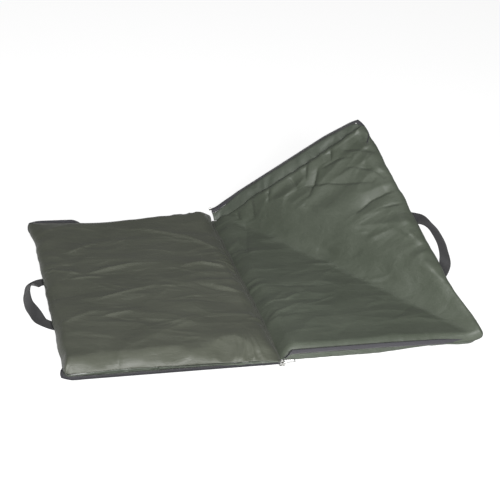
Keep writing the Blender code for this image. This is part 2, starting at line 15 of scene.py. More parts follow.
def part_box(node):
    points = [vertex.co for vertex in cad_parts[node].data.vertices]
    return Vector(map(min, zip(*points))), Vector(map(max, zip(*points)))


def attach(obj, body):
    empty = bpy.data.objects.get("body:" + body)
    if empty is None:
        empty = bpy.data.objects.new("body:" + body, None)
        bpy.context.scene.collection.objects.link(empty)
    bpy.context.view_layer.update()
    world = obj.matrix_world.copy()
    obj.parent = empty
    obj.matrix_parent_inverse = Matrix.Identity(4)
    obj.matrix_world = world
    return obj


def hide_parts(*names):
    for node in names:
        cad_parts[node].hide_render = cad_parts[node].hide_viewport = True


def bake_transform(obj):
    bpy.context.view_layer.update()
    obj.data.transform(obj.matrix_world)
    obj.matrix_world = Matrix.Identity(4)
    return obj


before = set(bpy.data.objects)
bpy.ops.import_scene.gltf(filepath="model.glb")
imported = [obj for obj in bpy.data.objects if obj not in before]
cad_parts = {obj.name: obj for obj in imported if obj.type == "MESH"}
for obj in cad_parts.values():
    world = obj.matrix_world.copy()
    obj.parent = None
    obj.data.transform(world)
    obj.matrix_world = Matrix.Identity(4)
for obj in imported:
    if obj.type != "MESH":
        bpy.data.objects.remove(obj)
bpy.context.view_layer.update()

MM = 0.001

LEFT = -1
RIGHT = 1
SIDES = ((LEFT, "left"), (RIGHT, "right"))

# Padded halves
PAD_LENGTH = 405 * MM
PAD_DEPTH = 560 * MM
PAD_THICKNESS = 35 * MM
SEAM_HEIGHT = 12 * MM
CORNER_RADIUS = 12 * MM
SIDE_DRAW = 7 * MM
COVER_THICKNESS = 0.8 * MM
SHOULDER_HEIGHT_SHARE = 0.80
FOLD_HALF_GAP = 6 * MM
FOLD_ROLL = 36 * MM
FOLD_MEETING = 0.5 * MM
FOLD_SEAM_HEIGHT = 5 * MM
WEB_SAG = 3 * MM

# How far the filled covers swell past their plain rectangle
RIGHT_END_SWELL = 28 * MM
RIGHT_FRONT_SWELL = 18 * MM
FRONT_CORNER_SWELL = 9 * MM
REAR_CORNER_SWELL = 8 * MM
LEFT_END_SWELL = 13 * MM
LEFT_FRONT_SWELL = 26.5 * MM
LEFT_REAR_SWELL = 9 * MM
REAR_LOFT = 11 * MM
WOBBLE = 2 * MM
FOLD_WANDER = 2.5 * MM

# How far in from the edges those swells reach
END_REACH = 80 * MM
FRONT_REACH = 75 * MM
REAR_REACH = 90 * MM
FOLD_REACH = 45 * MM
REAR_CORNER_REACH = 80 * MM
FRONT_CORNER_REACH = 130 * MM
LOFT_REACH = 290 * MM

# The left front swells less where the slider ends its run
EASED_SHARE = 0.22
EASED_FROM = 200 * MM
EASED_OVER = 130 * MM

# How far the covers' rims fall below the seam's height, or rise over it
RIGHT_FRONT_FALL = 9 * MM
RIGHT_FALL_FROM = 180 * MM
RIGHT_FALL_OVER = 130 * MM
LEFT_FRONT_FALL = 3 * MM
END_FALL = 1.5 * MM
CORNER_RISE = 4 * MM
CORNER_RISE_REACH = 120 * MM

# Widths and roundness of the covers' shoulders at the front, rear and end
SHOULDERS = {LEFT: (42 * MM, 26 * MM, 22 * MM), RIGHT: (15 * MM, 15 * MM, 26 * MM)}
ROUNDNESS = {LEFT: (0.12, 0.5, 0.5), RIGHT: (0.5, 0.5, 0.5)}

# Where the shoulders narrow: the front end corner of the right half, and bays along the left front
NARROWED_REACH = 110 * MM
BAYS_REACH = 200 * MM
WIDE_FROM = 100 * MM
WIDE_OVER = 90 * MM

# Margin of the base, and the crown's limit
MARGIN = 30 * MM
TUCK_HEIGHT = 3.6 * MM
END_TUCK_HEIGHT = 10 * MM
TUCK_REACH = 90 * MM
TUCK_RISE = 20 * MM
HIGHEST = 37.2 * MM
ROUNDED_FROM = 31 * MM

# Relief of the loose covers, its heights in millimetres
PAD_SEEDS = {LEFT: 1.7, RIGHT: 31.3}
FACET_DEPTHS = {LEFT: 5.0, RIGHT: 8.0}
BEND_WAVES = 11.0
BEND_WAVES_REACH = 75 * MM
CREASE_GAINS = {LEFT: 2.2, RIGHT: 2.8}
LOOSE_CREASES = 60
LOOSE_GAIN = 1.2
CREST_ROUNDING = 1.3 * MM
CREST_TO_REAR = 2.2
CREST_TO_FRONT = 0.6
STILL_EDGE = 16 * MM

# Puckers along the front, rear, end and fold: reach and height in millimetres
PUCKERS = {
    LEFT: ((36, 2.52), (22, 1.2), (26, 0.72), (34, 3.0)),
    RIGHT: ((36, 1.2), (38, 3.3), (34, 2.04), (34, 3.0)),
}

# Grid of the covers
GRID_STEP = 2.15 * MM
RIM_STEPS = 12

# Sprung corner
CREASE_FRONT_INSET = 12 * MM
BEND_WIDTH = 85 * MM
CORNER_LIFT = math.radians(52)
SPRUNG_TURNS = 40

# Gusset, zip and fold cloth
GUSSET_WIDTH = 22 * MM
GUSSET_STEP = 2.4 * MM
GUSSET_ROWS = 8
GUSSET_SEEDS = {LEFT: 2.1, RIGHT: 6.4}
GATHER_HEIGHT = 2.6 * MM
CLOTH_THICKNESS = 0.7 * MM
TAPE_WIDTH = 8 * MM
TAPE_THICKNESS = 0.8 * MM
TAPE_ROWS = 4
TAPE_WAVE = 0.8 * MM
ZIP_STEP = 3 * MM
COIL_DIAMETER = 3 * MM
COIL_PITCH = 1.3 * MM
COIL_RAISE = 0.7 * MM
STITCH_ROWS = (2.2 * MM, 4.0 * MM)
STITCH_RAISE = 0.55 * MM
SEAM_GAP = 0.4 * MM
WEB_COLUMNS = 15
WEB_ROWS = 220
WEB_DROP = 2.5 * MM
WEB_GATHER = 1.3 * MM

# Handles
WEBBING_WIDTH = 25 * MM
WEBBING_THICKNESS = 1.8 * MM
WEBBING_ROWS = 7
WEBBING_CUP = 0.8 * MM
SELVEDGE = 0.5 * MM
HANDLE_CENTRE_Y = -35 * MM
HANDLE_REACH = 51 * MM
HANDLE_ROOT_INSET = 15 * MM
HANDLE_DROP = 22 * MM
HANDLE_FLAT = 30 * MM
HANDLE_ROOT_HEIGHT = 4.6 * MM
HANDLE_TILT = math.radians(58)
HANDLE_SHIFT = 16 * MM
HANDLE_STATIONS = 150
HANDLE_EASING = 60
FLOOR_GAP = 0.3 * MM

# Line of the left strap in millimetres, out from the end and along it
HANDLE_MARKS = (
    (-15, -95), (10, -88), (38, -60), (53, -20),
    (54, 25), (44, 66), (20, 90), (-15, 90),
)

# Pull
PULL_WIDTH = 9 * MM
PULL_WIRE = 1.6 * MM
PULL_TURN_STEPS = 8

# Floor, lamps (name, place, aim, size, power) and camera (azimuth, elevation and roll)
FLOOR_HALF = 6.0
FLOOR_LEVEL = -0.2 * MM
SHADOW_SHARE = 0.30
LAMPS = (
    ("front_softbox", (-0.18, -2.5, 1.36), (0.2, 0, 0.05), (1.1, 0.8), 158),
    ("overhead_softbox", (0.2, 0.6, 2.4), (0.2, 0, 0), (1.2, 0.8), 9),
)
CAMERA_FROM_FOLD = Vector((-0.67073, -2.06007, 1.26309))
CAMERA_TURNS = (0.32026, 0.49710, 0.10749)
FOCAL_PIXELS = 1143.5
PHOTO_PIXELS = 500
SENSOR_WIDTH = 36

# Places and lengths that follow from the sizes
END_X = FOLD_HALF_GAP + PAD_LENGTH
REAR_Y = PAD_DEPTH / 2
MIDDLE_X = FOLD_HALF_GAP + PAD_LENGTH / 2
PATH_SIDE = PAD_LENGTH - CORNER_RADIUS
PATH_CORNER = CORNER_RADIUS * math.pi / 2
PATH_END = PAD_DEPTH - 2 * CORNER_RADIUS
PATH_TOTAL = 2 * PATH_SIDE + 2 * PATH_CORNER + PATH_END
CREASE_REAR = np.array((0.0, REAR_Y, 0.0))
CREASE_RUN = np.array((PAD_LENGTH - CREASE_FRONT_INSET, -PAD_DEPTH, 0.0))
CREASE_ALONG = CREASE_RUN / np.linalg.norm(CREASE_RUN)
CREASE_ACROSS = np.array((-CREASE_ALONG[1], CREASE_ALONG[0], 0.0))

# Gusset attitudes: share of the path, reach, rise, ruck and lean of the tape in degrees
LEFT_GUSSET_SHARES = (
    (0.00, 1.00, -0.28, -0.25, -4),
    (0.282, 1.00, -0.28, -0.25, -4),
    (0.325, -0.14, -0.15, 0.00, -180),
    (0.672, -0.14, -0.15, 0.00, -180),
    (0.708, 0.62, 0.10, 0.00, 10),
    (0.76, 0.70, -0.02, 0.00, 20),
    (0.82, -0.20, -0.39, 0.00, -180),
    (1.00, -0.20, -0.39, 0.00, -180),
)
RIGHT_GUSSET_SHARES = (
    (0.000, 0.90, -0.10, 0.00, 30),
    (0.014, 0.84, 0.18, 0.00, 80),
    (0.150, 0.84, 0.14, 0.00, 88),
    (0.235, 0.84, 0.06, 0.00, 92),
    (0.284, 0.82, -0.14, 0.00, 100),
    (0.310, 0.70, -0.36, 0.00, 150),
    (0.350, 0.55, -0.15, 0.00, 180),
    (0.640, 0.55, -0.15, 0.00, 180),
    (0.700, 0.78, 0.06, 0.02, -30),
    (0.760, 1.08, 0.16, 0.04, -40),
    (0.940, 1.05, 0.22, 0.04, -40),
    (0.975, 0.98, 0.34, 0.03, -10),
    (1.000, 0.60, 0.60, 0.00, 45),
)
GUSSET_SHARES = {LEFT: LEFT_GUSSET_SHARES, RIGHT: RIGHT_GUSSET_SHARES}


# Layout rules that the pads, gussets and zips share


def smooth(share):
    """Eased step from 0 to 1."""
    share = np.clip(share, 0, 1)
    return share * share * (3 - 2 * share)


def draw_in(share):
    """How far a side is drawn in at a share of its length."""
    return SIDE_DRAW * np.sin(np.pi * np.clip(share, 0, 1))


def near(distance, reach):
    """1 at the place itself, eased to 0 at its reach."""
    return smooth(1 - distance / reach)


def shoulder_round(distance, width, roundness):
    """Soft shoulder: between a quarter circle and an eased slope."""
    share = np.clip(distance / width, 0, 1)
    return roundness * np.sqrt(1 - (1 - share) ** 2) + (1 - roundness) * (1 - (1 - share) ** 1.6)


def noise_at(first, second, seed):
    """Smooth noise over two coordinates, for arrays of one shape."""
    flat = zip(first.ravel(), second.ravel())
    values = [noise.noise(Vector((a, b, seed))) for a, b in flat]
    return np.array(values).reshape(first.shape)


def edge_wave(along, row, lengths, seeds, share=0.5):
    """A long wave along an edge, with a share of a short one."""
    waves = [noise_at(along / length, row, seed) for length, seed in zip(lengths, seeds)]
    return waves[0] + share * waves[1]


def run_lengths(points):
    """Distances along a run of points."""
    return np.concatenate(((0,), np.cumsum(np.linalg.norm(np.diff(points, axis=0), axis=1))))


def edge_distance(x, y):
    """Distance to the nearest edge of a half."""
    return np.minimum(np.minimum(END_X - x, REAR_Y - np.abs(y)), x - FOLD_MEETING)


def swell(x, y, side):
    """How far the filling pushes the cover past its plain rectangle, its rim height and loft."""
    from_end, from_front, from_rear = END_X - x, y + REAR_Y, REAR_Y - y
    end = near(from_end, END_REACH)
    front, rear = near(from_front, FRONT_REACH), near(from_rear, REAR_REACH)
    wave_end = edge_wave(y, 0 * y, (0.045, 0.019), (3.1 + side, 9.4 + side))
    wave_side = edge_wave(x, np.sign(y), (0.050, 0.021), (5.2 + side, 7.7 + side))
    wander = edge_wave(y, 0 * y, (0.055, 0.020), (2.4, 6.8), 0.6)
    out_x = (draw_in(from_front / PAD_DEPTH) + wave_end * WOBBLE) * end
    out_x += side * wander * FOLD_WANDER * near(x, FOLD_REACH)
    out_y = wave_side * WOBBLE * (0.4 * front + rear)
    if side == RIGHT:
        out_x += RIGHT_END_SWELL * smooth(x / END_X)
        out_x += FRONT_CORNER_SWELL * end * near(from_front, FRONT_CORNER_REACH)
        out_y -= (RIGHT_FRONT_SWELL + draw_in((x - FOLD_HALF_GAP) / PAD_LENGTH)) * front
        fall = RIGHT_FRONT_FALL * front * near(x - RIGHT_FALL_FROM, RIGHT_FALL_OVER)
        corner = end * near(from_front, CORNER_RISE_REACH)
        rim = SEAM_HEIGHT - fall - END_FALL * end * (1 - rear) + CORNER_RISE * corner
        return out_x, out_y, rim, np.zeros_like(x)
    by_fold = near(x, LOFT_REACH)
    corner = near(from_rear, REAR_CORNER_REACH) * near(from_end, REAR_CORNER_REACH)
    eased = 1 - EASED_SHARE * smooth((x - EASED_FROM) / EASED_OVER)
    out_x += LEFT_END_SWELL * end + REAR_CORNER_SWELL * corner
    out_y -= LEFT_FRONT_SWELL * eased * front
    out_y += LEFT_REAR_SWELL * rear * (1 + by_fold) + REAR_CORNER_SWELL * corner
    rim = SEAM_HEIGHT - END_FALL * end - LEFT_FRONT_FALL * front
    return out_x, out_y, rim, REAR_LOFT * rear * by_fold


def pad_plan(x, y):
    """Plan place of a point of the plain rectangle: corners rounded and sides drawn in."""
    over_x = x - (END_X - CORNER_RADIUS)
    over_y = np.abs(y) - (REAR_Y - CORNER_RADIUS)
    corner = (over_x > 0) & (over_y > 0)
    reach = np.maximum(np.hypot(over_x, over_y), 1e-9)
    rounding = np.where(corner, 1 - np.maximum(over_x, over_y) / reach, 0)
    plan_x = x - over_x * rounding
    plan_y = y - np.copysign(over_y * rounding, y)
    end_pull = draw_in((y + REAR_Y) / PAD_DEPTH) * (x - FOLD_HALF_GAP) / PAD_LENGTH
    side_pull = draw_in((x - FOLD_HALF_GAP) / PAD_LENGTH) * y / REAR_Y
    return plan_x - np.maximum(end_pull, 0), plan_y - side_pull


def top_height(x, y, rim, side):
    """Height of the top cover, with its shoulders, crown and roll into the fold."""
    from_fold, from_end, from_front = x - FOLD_MEETING, END_X - x, y + REAR_Y
    narrowed = 0.55 * near(from_front, NARROWED_REACH) * near(from_end, NARROWED_REACH)
    if side == LEFT:
        bays = edge_wave(x, 0 * x, (0.075, 0.028), (4.4, 8.1))
        narrowed = 0.5 - 0.5 * near(x - WIDE_FROM, WIDE_OVER) - 0.3 * bays
        narrowed *= near(from_front, BAYS_REACH)
    edges = zip((from_front, REAR_Y - y, from_end), SHOULDERS[side], ROUNDNESS[side])
    shoulders = [shoulder_round(edge, width * (1 - narrowed), soft) for edge, width, soft in edges]
    long_way = smooth(2 * np.minimum(from_end, from_fold) / PAD_LENGTH)
    short_way = smooth(2 * (REAR_Y - np.abs(y)) / PAD_DEPTH)
    crown = SHOULDER_HEIGHT_SHARE + (1 - SHOULDER_HEIGHT_SHARE) * np.sqrt(long_way * short_way)
    full = SEAM_HEIGHT + (PAD_THICKNESS - SEAM_HEIGHT) * crown
    height = rim + (full - rim) * np.minimum.reduce(shoulders)
    low = np.minimum(rim, FOLD_SEAM_HEIGHT)
    return low + (height - low) * (1 - (1 - np.clip(from_fold / FOLD_ROLL, 0, 1)) ** 2.2)


def base_height(x, y, rim):
    """Height of the base cover: flat inside, tucked up round its margin to meet the rim."""
    edge = edge_distance(x, y)
    rise = np.clip(1 - edge / TUCK_RISE, 0, 1)
    tuck = TUCK_HEIGHT + (END_TUCK_HEIGHT - TUCK_HEIGHT) * near(END_X - x, TUCK_REACH)
    under_edge = tuck + np.maximum(rim - COVER_THICKNESS - tuck, 0) * rise**1.7
    return under_edge * smooth((MARGIN + 10 * MM - edge) / (14 * MM))


def below_highest(height):
    """Crowns eased down so that the folded halves lie on each other without meeting."""
    over, room = height - ROUNDED_FROM, HIGHEST - ROUNDED_FROM
    return np.where(over > 0, ROUNDED_FROM + room * np.tanh(over / room), height)


def turned(points, angle):
    """Points turned about the crease, each by its own angle."""
    arm = points - CREASE_REAR
    cosine, sine = np.cos(angle)[:, None], np.sin(angle)[:, None]
    along = (arm @ CREASE_ALONG)[:, None] * CREASE_ALONG
    return CREASE_REAR + arm * cosine + np.cross(CREASE_ALONG, arm) * sine + along * (1 - cosine)


def sprung(points):
    """Where flat points of the right half rest, so that the joint's turn lays them flat again."""
    points = np.asarray(points, float)
    share = smooth((points - CREASE_REAR) @ CREASE_ACROSS / BEND_WIDTH)
    for _ in range(SPRUNG_TURNS):
        rest = turned(points, CORNER_LIFT * share)
        reach = (rest - CREASE_REAR) @ CREASE_ACROSS / (BEND_WIDTH * math.cos(CORNER_LIFT))
        share = (share + smooth(reach)) / 2
    return turned(points, CORNER_LIFT * share)


def in_frame(points, side):
    """Flat points of one half, mirrored or sprung up, and moved into the frame."""
    points = np.asarray(points, float).reshape(-1, 3)
    placed = sprung(points) if side == RIGHT else points * (-1, 1, 1)
    return placed + (MIDDLE_X, 0, 0)


def path_point(distance):
    """Point on the sewn outline, its outward direction and the draw of its side."""
    past_front = distance - PATH_SIDE
    past_end = past_front - PATH_CORNER - PATH_END
    x, y = END_X - CORNER_RADIUS, REAR_Y - CORNER_RADIUS
    if past_front <= 0:
        x, y, turn = FOLD_HALF_GAP + distance, -REAR_Y, -math.pi / 2
    elif past_front <= PATH_CORNER:
        turn = -math.pi / 2 + past_front / CORNER_RADIUS
        x, y = x + CORNER_RADIUS * math.cos(turn), -y + CORNER_RADIUS * math.sin(turn)
    elif past_end <= 0:
        x, y, turn = END_X, y + past_end, 0
    elif past_end <= PATH_CORNER:
        turn = past_end / CORNER_RADIUS
        x, y = x + CORNER_RADIUS * math.cos(turn), y + CORNER_RADIUS * math.sin(turn)
    else:
        x, y, turn = x - (past_end - PATH_CORNER), REAR_Y, math.pi / 2
    outward = Vector((math.cos(turn), math.sin(turn), 0))
    pulled = abs(outward.x) * draw_in((y + REAR_Y) / PAD_DEPTH)
    pulled += abs(outward.y) * draw_in((x - FOLD_HALF_GAP) / PAD_LENGTH)
    return Vector((x, y, 0)), outward, float(pulled)


def attitude(shares, share):
    """Reach, rise, ruck and lean at a share of the path, eased between the listed ones."""
    for low, high in zip(shares, shares[1:]):
        if share <= high[0]:
            mix = float(smooth((share - low[0]) / (high[0] - low[0])))
            return [a + (b - a) * mix for a, b in zip(low[1:], high[1:])]
    return shares[-1][1:]


class Section:
    """The gusset and zip at one station of the path."""

    def __init__(self, distance, side):
        point, outward, pulled = path_point(distance)
        reach, rise, ruck, lean = attitude(GUSSET_SHARES[side], distance / PATH_TOTAL)
        lean = math.radians(lean)
        up = Vector((0, 0, 1))
        level = up * (SEAM_HEIGHT - COVER_THICKNESS)
        out_x, out_y, rim, _ = swell(np.array(point.x), np.array(point.y), side)
        pushed = Vector((out_x, out_y, rim - SEAM_HEIGHT))
        miter = 1 / max(abs(outward.x), abs(outward.y))
        self.outward = outward
        self.inner = point + outward * (SEAM_GAP - pulled) + level + pushed
        self.outer = point + outward * (SEAM_GAP + reach * GUSSET_WIDTH * miter) + level
        self.outer += up * rise * GUSSET_WIDTH
        self.ruck = ruck * GUSSET_WIDTH
        self.way = outward * math.cos(lean) + up * math.sin(lean)
        self.upper = up * math.cos(lean) - outward * math.sin(lean)
        self.coil = self.outer + self.way * (2 * SEAM_GAP + TAPE_WIDTH + COIL_DIAMETER / 2)
        self.coil += self.upper * COIL_RAISE
        self.coil.z = max(self.coil.z, COIL_DIAMETER / 2)


def stations(spacing):
    """Distances along the path, evenly spaced."""
    return np.linspace(0, PATH_TOTAL, int(PATH_TOTAL / spacing) + 1)


# Meshes


def add_object(name, data):
    """An object of some data, in the scene."""
    made = bpy.data.objects.new(name, data)
    bpy.context.scene.collection.objects.link(made)
    return made


def make_object(name, points, faces, material):
    """A smooth mesh object with one material."""
    mesh = bpy.data.meshes.new(name)
    mesh.from_pydata([tuple(p) for p in points], [], faces)
    mesh.validate()
    mesh.shade_smooth()
    made = add_object(name, mesh)
    mesh.materials.append(material)
    return made


def grid_faces(columns, rows, flip=False):
    """Quads of a grid whose points run along its rows first."""
    firsts = [column * rows + row for column in range(columns - 1) for row in range(rows - 1)]
    quads = [(first, first + rows, first + rows + 1, first + 1) for first in firsts]
    return [quad[::-1] for quad in quads] if flip else quads


def thicken(item, thickness):
    """Give a thin sheet its thickness, half to each side."""
    wall = item.modifiers.new("Wall", "SOLIDIFY")
    wall.thickness = thickness
    wall.offset = 0
    return item


def as_plain_mesh(item):
    """Replace an object by one that holds its evaluated mesh alone."""
    depsgraph = bpy.context.evaluated_depsgraph_get()
    mesh = bpy.data.meshes.new_from_object(item.evaluated_get(depsgraph), depsgraph=depsgraph)
    name = mesh.name = item.name
    bpy.data.objects.remove(item)
    return add_object(name, mesh)


def add_uv(item, places):
    """A UV map in metres, from each vertex's place along and across."""
    layer = item.data.uv_layers.new(name="Run")
    loops = np.zeros(len(item.data.loops), np.int32)
    item.data.loops.foreach_get("vertex_index", loops)
    layer.data.foreach_set("uv", np.asarray(places, np.float32)[loops].ravel())


# Shader and geometry trees


class Value:
    """A number's socket, whose sums and products become Math nodes."""

    def __init__(self, tree, socket):
        self.tree = tree
        self.socket = socket

    def math(self, operation, *values):
        return self.tree.add("ShaderNodeMath", dict(enumerate(values)), operation=operation).out()

    def __add__(self, other):
        return self.math("ADD", self, other)

    __radd__ = __add__

    def __sub__(self, other):
        return self.math("SUBTRACT", self, other)

    def __rsub__(self, other):
        return self.math("SUBTRACT", other, self)

    def __mul__(self, other):
        return self.math("MULTIPLY", self, other)

    def __truediv__(self, other):
        return self.math("DIVIDE", self, other)

    def sine(self):
        return self.math("SINE", self)

    def above(self, other):
        return self.math("MAXIMUM", self, other)

    def size(self):
        return self.math("ABSOLUTE", self)


class Made:
    """A node just made, whose outputs are taken by name or number."""

    def __init__(self, tree, node):
        self.tree = tree
        self.node = node

    def out(self, key=0):
        return Value(self.tree, self.node.outputs[key])


class Tree:
    """A node tree, filled by one method."""

    def __init__(self, tree):
        self.tree = tree

    def add(self, kind, sockets=None, **settings):
        """A node with its settings, each socket linked or set to a value."""
        node = self.tree.nodes.new(kind)
        for key, value in settings.items():
            setattr(node, key, value)
        for key, value in (sockets or {}).items():
            if isinstance(value, Value):
                self.tree.links.new(value.socket, node.inputs[key])
            else:
                node.inputs[key].default_value = value
        return Made(self, node)

    def mix(self, share, first, second):
        """Two colours mixed."""
        return self.add("ShaderNodeMix", {0: share, 6: first, 7: second}, data_type="RGBA").out(2)


def opaque(colour, factor=1):
    """A colour for a socket, lighter or darker by a factor."""
    return (*(channel * factor for channel in colour), 1)


def start_material(name):
    made = bpy.data.materials.new(name)
    made.use_nodes = True
    made.node_tree.nodes.clear()
    return made, Tree(made.node_tree)


def finish_material(tree, sockets):
    shader = tree.add("ShaderNodeBsdfPrincipled", sockets)
    tree.add("ShaderNodeOutputMaterial", {"Surface": shader.out()})


def object_place(tree, scale=(1, 1, 1)):
    """Object coordinates stretched by a scale for each axis."""
    place = tree.add("ShaderNodeTexCoord").out("Object")
    return tree.add("ShaderNodeMapping", {"Vector": place, "Scale": scale}).out()


def noise_field(tree, place, scale, detail=2.0, roughness=0.5):
    sockets = {"Vector": place, "Scale": scale, "Detail": detail, "Roughness": roughness}
    return tree.add("ShaderNodeTexNoise", sockets).out("Fac")


def bump(tree, height, distance, strength=1.0, under=None):
    sockets = {"Height": height, "Distance": distance, "Strength": strength}
    if under:
        sockets["Normal"] = under
    return tree.add("ShaderNodeBump", sockets).out()


def weave_height(tree, place, pitch):
    """Plain weave: threads both ways, over and under one another."""
    axes = tree.add("ShaderNodeSeparateXYZ", {0: place})
    warp, weft = [(axes.out(axis) * (2 * math.pi / pitch)).sine() for axis in (0, 1)]
    return warp * weft


def coated_nylon(name, colour, dark, ridge_highlight, crumple, roughness):
    """Coated nylon cloth: fine weave, satin film, soft crumples, uneven colour and painted highlights on
    the crumple ridges.
    """
    made, tree = start_material(name)
    plain = object_place(tree)
    drawn = object_place(tree, crumple)
    patches = noise_field(tree, plain, 9, 3)
    creases = noise_field(tree, drawn, 1, 4, 0.62)
    fine = noise_field(tree, drawn, 3.1, 3, 0.6)
    ridges = (1 - (creases - 0.5).size() * 9).above(0)
    ridges = ridges * ridges
    tone = tree.mix((patches - 0.35) * 2.2, opaque(dark), opaque(colour))
    normal = bump(tree, creases + fine * 0.22 + ridges * 0.05, 2.6 * MM, 0.8)
    sockets = {
        # Painted highlight: the crumple ridges are lightened towards the highlight tone
        "Base Color": tree.mix(ridges * 0.10, tone, opaque(ridge_highlight)),
        "Roughness": roughness + patches * 0.14 + fine * 0.06,
        "Specular IOR Level": 0.32,
        "Sheen Weight": 0.03,
        "Sheen Roughness": 0.45,
        "Normal": bump(tree, weave_height(tree, plain, 1.1 * MM), 0.06 * MM, 0.25, normal),
    }
    finish_material(tree, sockets)
    return made


def woven_tape(name, colour, dark, pitch):
    """Twill tape: slanting ribs along its run, on the piece's own map."""
    made, tree = start_material(name)
    run = tree.add("ShaderNodeUVMap", uv_map="Run").out()
    axes = tree.add("ShaderNodeSeparateXYZ", {0: run})
    along, across = axes.out(0), axes.out(1)
    chevron = along + across.size() * 0.9
    rib = (chevron * (2 * math.pi / pitch)).sine() * 0.5 + 0.5
    thread = (across * (2 * math.pi / (pitch * 0.7))).sine() * 0.5 + 0.5
    height = rib * 0.7 + thread * 0.3
    soil = noise_field(tree, object_place(tree), 60, 3)
    sockets = {
        "Base Color": tree.mix(height * 0.7 + soil * 0.3, opaque(dark), opaque(colour)),
        "Roughness": 0.72 + soil * 0.15,
        "Specular IOR Level": 0.3,
        "Sheen Weight": 0.1,
        "Normal": bump(tree, height, 0.35 * MM, 0.6),
    }
    finish_material(tree, sockets)
    return made


def plain_nylon(name, colour, roughness):
    """Smooth nylon filament with slight wear."""
    made, tree = start_material(name)
    wear = noise_field(tree, object_place(tree), 240, 2)
    sockets = {
        "Base Color": tree.mix(wear * 0.5, opaque(colour), opaque(colour, 1.5)),
        "Roughness": roughness + wear * 0.1,
    }
    finish_material(tree, sockets)
    return made


def bright_metal(name, colour, roughness):
    """Plated metal with fine rubbing marks."""
    made, tree = start_material(name)
    marks = noise_field(tree, object_place(tree, (60, 900, 900)), 1, 3)
    sockets = {
        "Base Color": tree.mix(marks * 0.6, opaque(colour), opaque(colour, 0.72)),
        "Metallic": 1.0,
        "Roughness": roughness + marks * 0.15,
        "Normal": bump(tree, marks, 0.05 * MM, 0.3),
    }
    finish_material(tree, sockets)
    return made


# Each nylon: its colour, dark tone, painted highlight tone of the crumple ridges, crumple scale and
# roughness
NYLON_LEFT, NYLON_RIGHT, NYLON_GUSSET, NYLON_BASE = [
    coated_nylon("olive_nylon_" + row[0], *row[1:])
    for row in (
        ("left", (0.0575, 0.062, 0.047), (0.047, 0.051, 0.038), (0.085, 0.087, 0.072), (12, 30, 30), 0.42),
        ("right", (0.055, 0.064, 0.048), (0.044, 0.052, 0.038), (0.082, 0.090, 0.072), (12, 30, 30), 0.42),
        # The gusset is the covers' cloth made a little lighter: painted light for the brighter light
        # falling on the gusset
        ("gusset", (0.058, 0.068, 0.053), (0.044, 0.052, 0.040), (0.10, 0.104, 0.087), (25, 25, 25), 0.46),
        ("base", (0.055, 0.059, 0.048), (0.045, 0.048, 0.039), (0.080, 0.083, 0.070), (14, 30, 30), 0.55),
    )
]
COVER_LOOKS = {LEFT: NYLON_LEFT, RIGHT: NYLON_RIGHT}
TAPE = woven_tape("zip_tape_twill", (0.040, 0.039, 0.045), (0.025, 0.024, 0.028), 1.6 * MM)
WEBBING = woven_tape("charcoal_webbing", (0.025, 0.025, 0.026), (0.013, 0.013, 0.014), 3.2 * MM)
COIL = plain_nylon("nylon_coil", (0.022, 0.022, 0.026), 0.5)
THREAD = plain_nylon("sewing_thread", (0.050, 0.052, 0.046), 0.7)
NICKEL = bright_metal("nickel_plate", (0.70, 0.70, 0.68), 0.24)


# Padded halves


def rim_stations(start, stop, near_rim, far_rim):
    """Distances across a half: close together at its edges, even between them."""
    rim = 1 - np.cos(np.linspace(0, math.pi / 2, RIM_STEPS + 1))
    count = int((stop - start - near_rim - far_rim) / GRID_STEP)
    middle = np.linspace(start + near_rim, stop - far_rim, count + 1)[1:-1]
    return np.concatenate((start + near_rim * rim, middle, stop - far_rim * rim[::-1]))


def crease_line(x, y, width, rise, *places):
    """One crease along its run of places, steep to the front and gentle to the rear."""
    marks = np.array(places, float) * MM
    starts = run_lengths(marks)
    best, along, behind = np.full_like(x, np.inf), np.zeros_like(x), np.zeros_like(x)
    for start, stop, begun, length in zip(marks, marks[1:], starts, np.diff(starts)):
        run = (stop - start) / length
        share = np.clip((x - start[0]) * run[0] + (y - start[1]) * run[1], 0, length)
        off_x, off_y = x - start[0] - share * run[0], y - start[1] - share * run[1]
        off = np.hypot(off_x, off_y)
        closer = off < best
        best = np.where(closer, off, best)
        along = np.where(closer, (begun + share) / starts[-1], along)
        behind = np.where(closer, off_y, behind)
    taper = np.sin(np.pi * (0.06 + 0.88 * along)) ** 0.7
    spread = width * MM * np.where(behind > 0, CREST_TO_REAR, CREST_TO_FRONT)
    crest = np.exp((CREST_ROUNDING - np.hypot(best, CREST_ROUNDING)) / spread)
    return rise * MM * taper * crest


def crease_lines(x, y, creases):
    """All creases, each a width, a rise and a run of places, in millimetres."""
    return sum(crease_line(x, y, *crease) for crease in creases)


def loose_creases(seed):
    """Small creases scattered over a half, most of them running across it."""
    dice = np.random.default_rng(seed)
    creases = []
    for _ in range(LOOSE_CREASES):
        middle = dice.uniform((30, -250), (390, 250))
        slant = math.radians(dice.normal(8, 22))
        run = np.array((math.cos(slant), math.sin(slant))) * dice.uniform(16, 62)
        bow = np.array((-run[1], run[0])) * dice.uniform(-0.18, 0.18)
        width = dice.uniform(2.8, 5.0)
        rise = dice.choice((1.0, 1.0, -0.8)) * dice.uniform(0.5, 1.6)
        creases.append((width, rise, middle - run, middle + bow, middle + run))
    return creases


